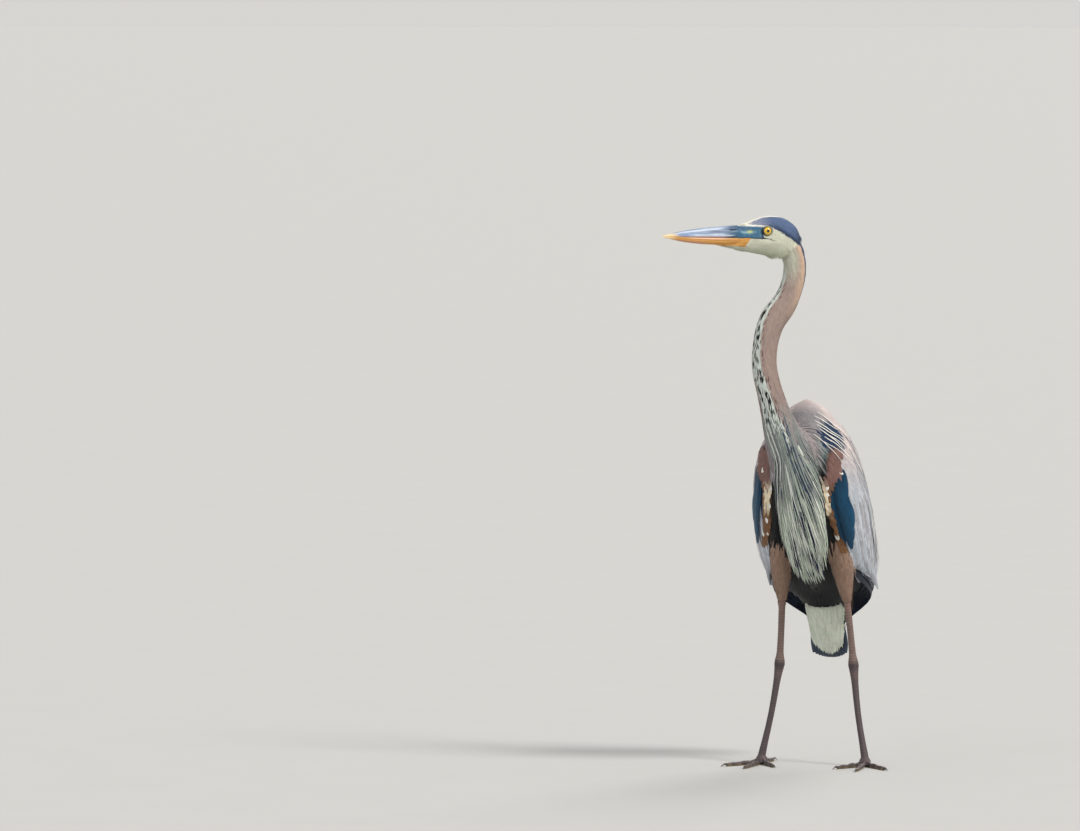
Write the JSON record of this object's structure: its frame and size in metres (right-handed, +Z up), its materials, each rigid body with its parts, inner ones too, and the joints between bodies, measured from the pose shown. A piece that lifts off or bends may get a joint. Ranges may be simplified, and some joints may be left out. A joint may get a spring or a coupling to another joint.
{
  "type": "great blue heron",
  "caption": "Tall wading bird standing alert on long legs, wings folded, neck raised in a soft S and dagger bill turned to its right.",
  "frame": {"origin": "on the floor, under the middle of the bird's box", "axes": "+Z up, -Y the way the breast and toes face, +X the bird's left"},
  "size_m": [0.3636, 0.3656, 0.9572],
  "materials": {
    "grey_feather": "soft matt vanes",
    "slate_feather": "smooth vanes, faint satin",
    "fawn_feather": "short soft feathers, matt",
    "white_feather": "short soft feathers, matt",
    "rufous_feather": "short soft feathers, matt",
    "bill_grey": "smooth horn, satin",
    "bill_ochre": "smooth horn, satin",
    "leg_skin": "scaled skin, slightly waxy",
    "eye": "wet and clear",
    "claw": "polished horn"
  },
  "bodies": {
    "root": {"bill_lower": "bill_ochre", "bill_upper": "bill_grey", "breast_plumes": "grey_feather", "chin": "white_feather", "claw_hind_left": "claw", "claw_hind_right": "claw", "claw_inner_left": "claw", "claw_inner_right": "claw", "claw_middle_left": "claw", "claw_middle_right": "claw", "claw_outer_left": "claw", "claw_outer_right": "claw", "eye_left": "eye", "eye_right": "eye", "flight_feathers_left": "slate_feather", "flight_feathers_right": "slate_feather", "foot_left": "leg_skin", "foot_right": "leg_skin", "head": "white_feather", "neck_lower": "fawn_feather", "neck_middle": "fawn_feather", "neck_upper": "fawn_feather", "shank_left": "leg_skin", "shank_right": "leg_skin", "tail": "slate_feather", "tarsus_left": "leg_skin", "tarsus_right": "leg_skin", "thigh_left": "rufous_feather", "thigh_right": "rufous_feather", "trunk": "grey_feather", "undertail_coverts": "white_feather", "wing_left": "grey_feather", "wing_right": "grey_feather"}
  },
  "joints": []
}
